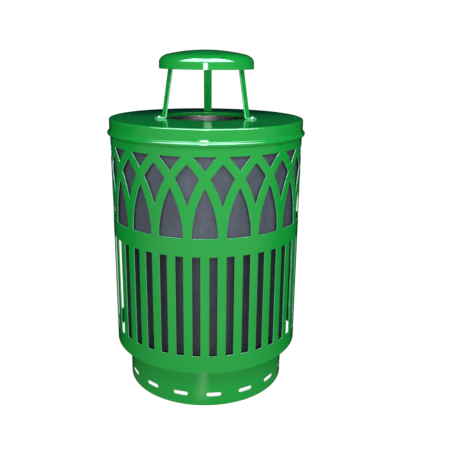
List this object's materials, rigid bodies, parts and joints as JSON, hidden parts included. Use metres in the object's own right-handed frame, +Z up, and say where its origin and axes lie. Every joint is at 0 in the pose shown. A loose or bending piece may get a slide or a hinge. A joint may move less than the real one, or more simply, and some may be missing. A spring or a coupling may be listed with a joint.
{
  "type": "litter bin",
  "caption": "Round outdoor litter bin: pierced steel body on a slotted plinth, loose liner, lift-off lid with a round opening under a domed rain cap.",
  "frame": {"origin": "centre of the plinth ring on the ground", "axes": "+Z up along the bin's axis, -Y towards the front, +X to the right seen from the front"},
  "size_m": [0.627, 0.627, 1.0869],
  "materials": {
    "green_coat": "gloss powder coat",
    "zinc_fasteners": "zinc plated",
    "liner_plastic": "matt, slightly mottled"
  },
  "bodies": {
    "stand": {"body_shell": "green_coat", "base_ring": "green_coat", "floor_plate": "green_coat", "hanger_bracket_1": "green_coat", "hanger_bracket_2": "green_coat", "hanger_bracket_3": "green_coat", "hanger_bracket_4": "green_coat", "hanger_bolt_1": "zinc_fasteners", "hanger_bolt_2": "zinc_fasteners", "hanger_bolt_3": "zinc_fasteners", "hanger_bolt_4": "zinc_fasteners", "hanger_nut_1": "zinc_fasteners", "hanger_nut_2": "zinc_fasteners", "hanger_nut_3": "zinc_fasteners", "hanger_nut_4": "zinc_fasteners", "anchor_tab_1": "green_coat", "anchor_tab_2": "green_coat", "anchor_tab_3": "green_coat"},
    "lid_assembly": {"lid": "green_coat", "rain_cap": "green_coat", "cap_leg_1": "green_coat", "cap_leg_2": "green_coat", "cap_leg_3": "green_coat", "leg_bolt_1": "zinc_fasteners", "leg_bolt_2": "zinc_fasteners", "leg_bolt_3": "zinc_fasteners", "leg_nut_1": "zinc_fasteners", "leg_nut_2": "zinc_fasteners", "leg_nut_3": "zinc_fasteners"},
    "liner": {"liner": "liner_plastic"}
  },
  "joints": [
    {"name": "lid_lift", "type": "slide", "parent": "stand", "child": "lid_assembly", "axis": [0, 0, 1], "range_m": [0, 0.8]},
    {"name": "liner_lift", "type": "slide", "parent": "stand", "child": "liner", "axis": [0, 0, 1], "range_m": [0, 0.72]}
  ],
  "couplings": [
    {"joint": "liner_lift", "follows": "lid_lift", "ratio": 0.9}
  ]
}
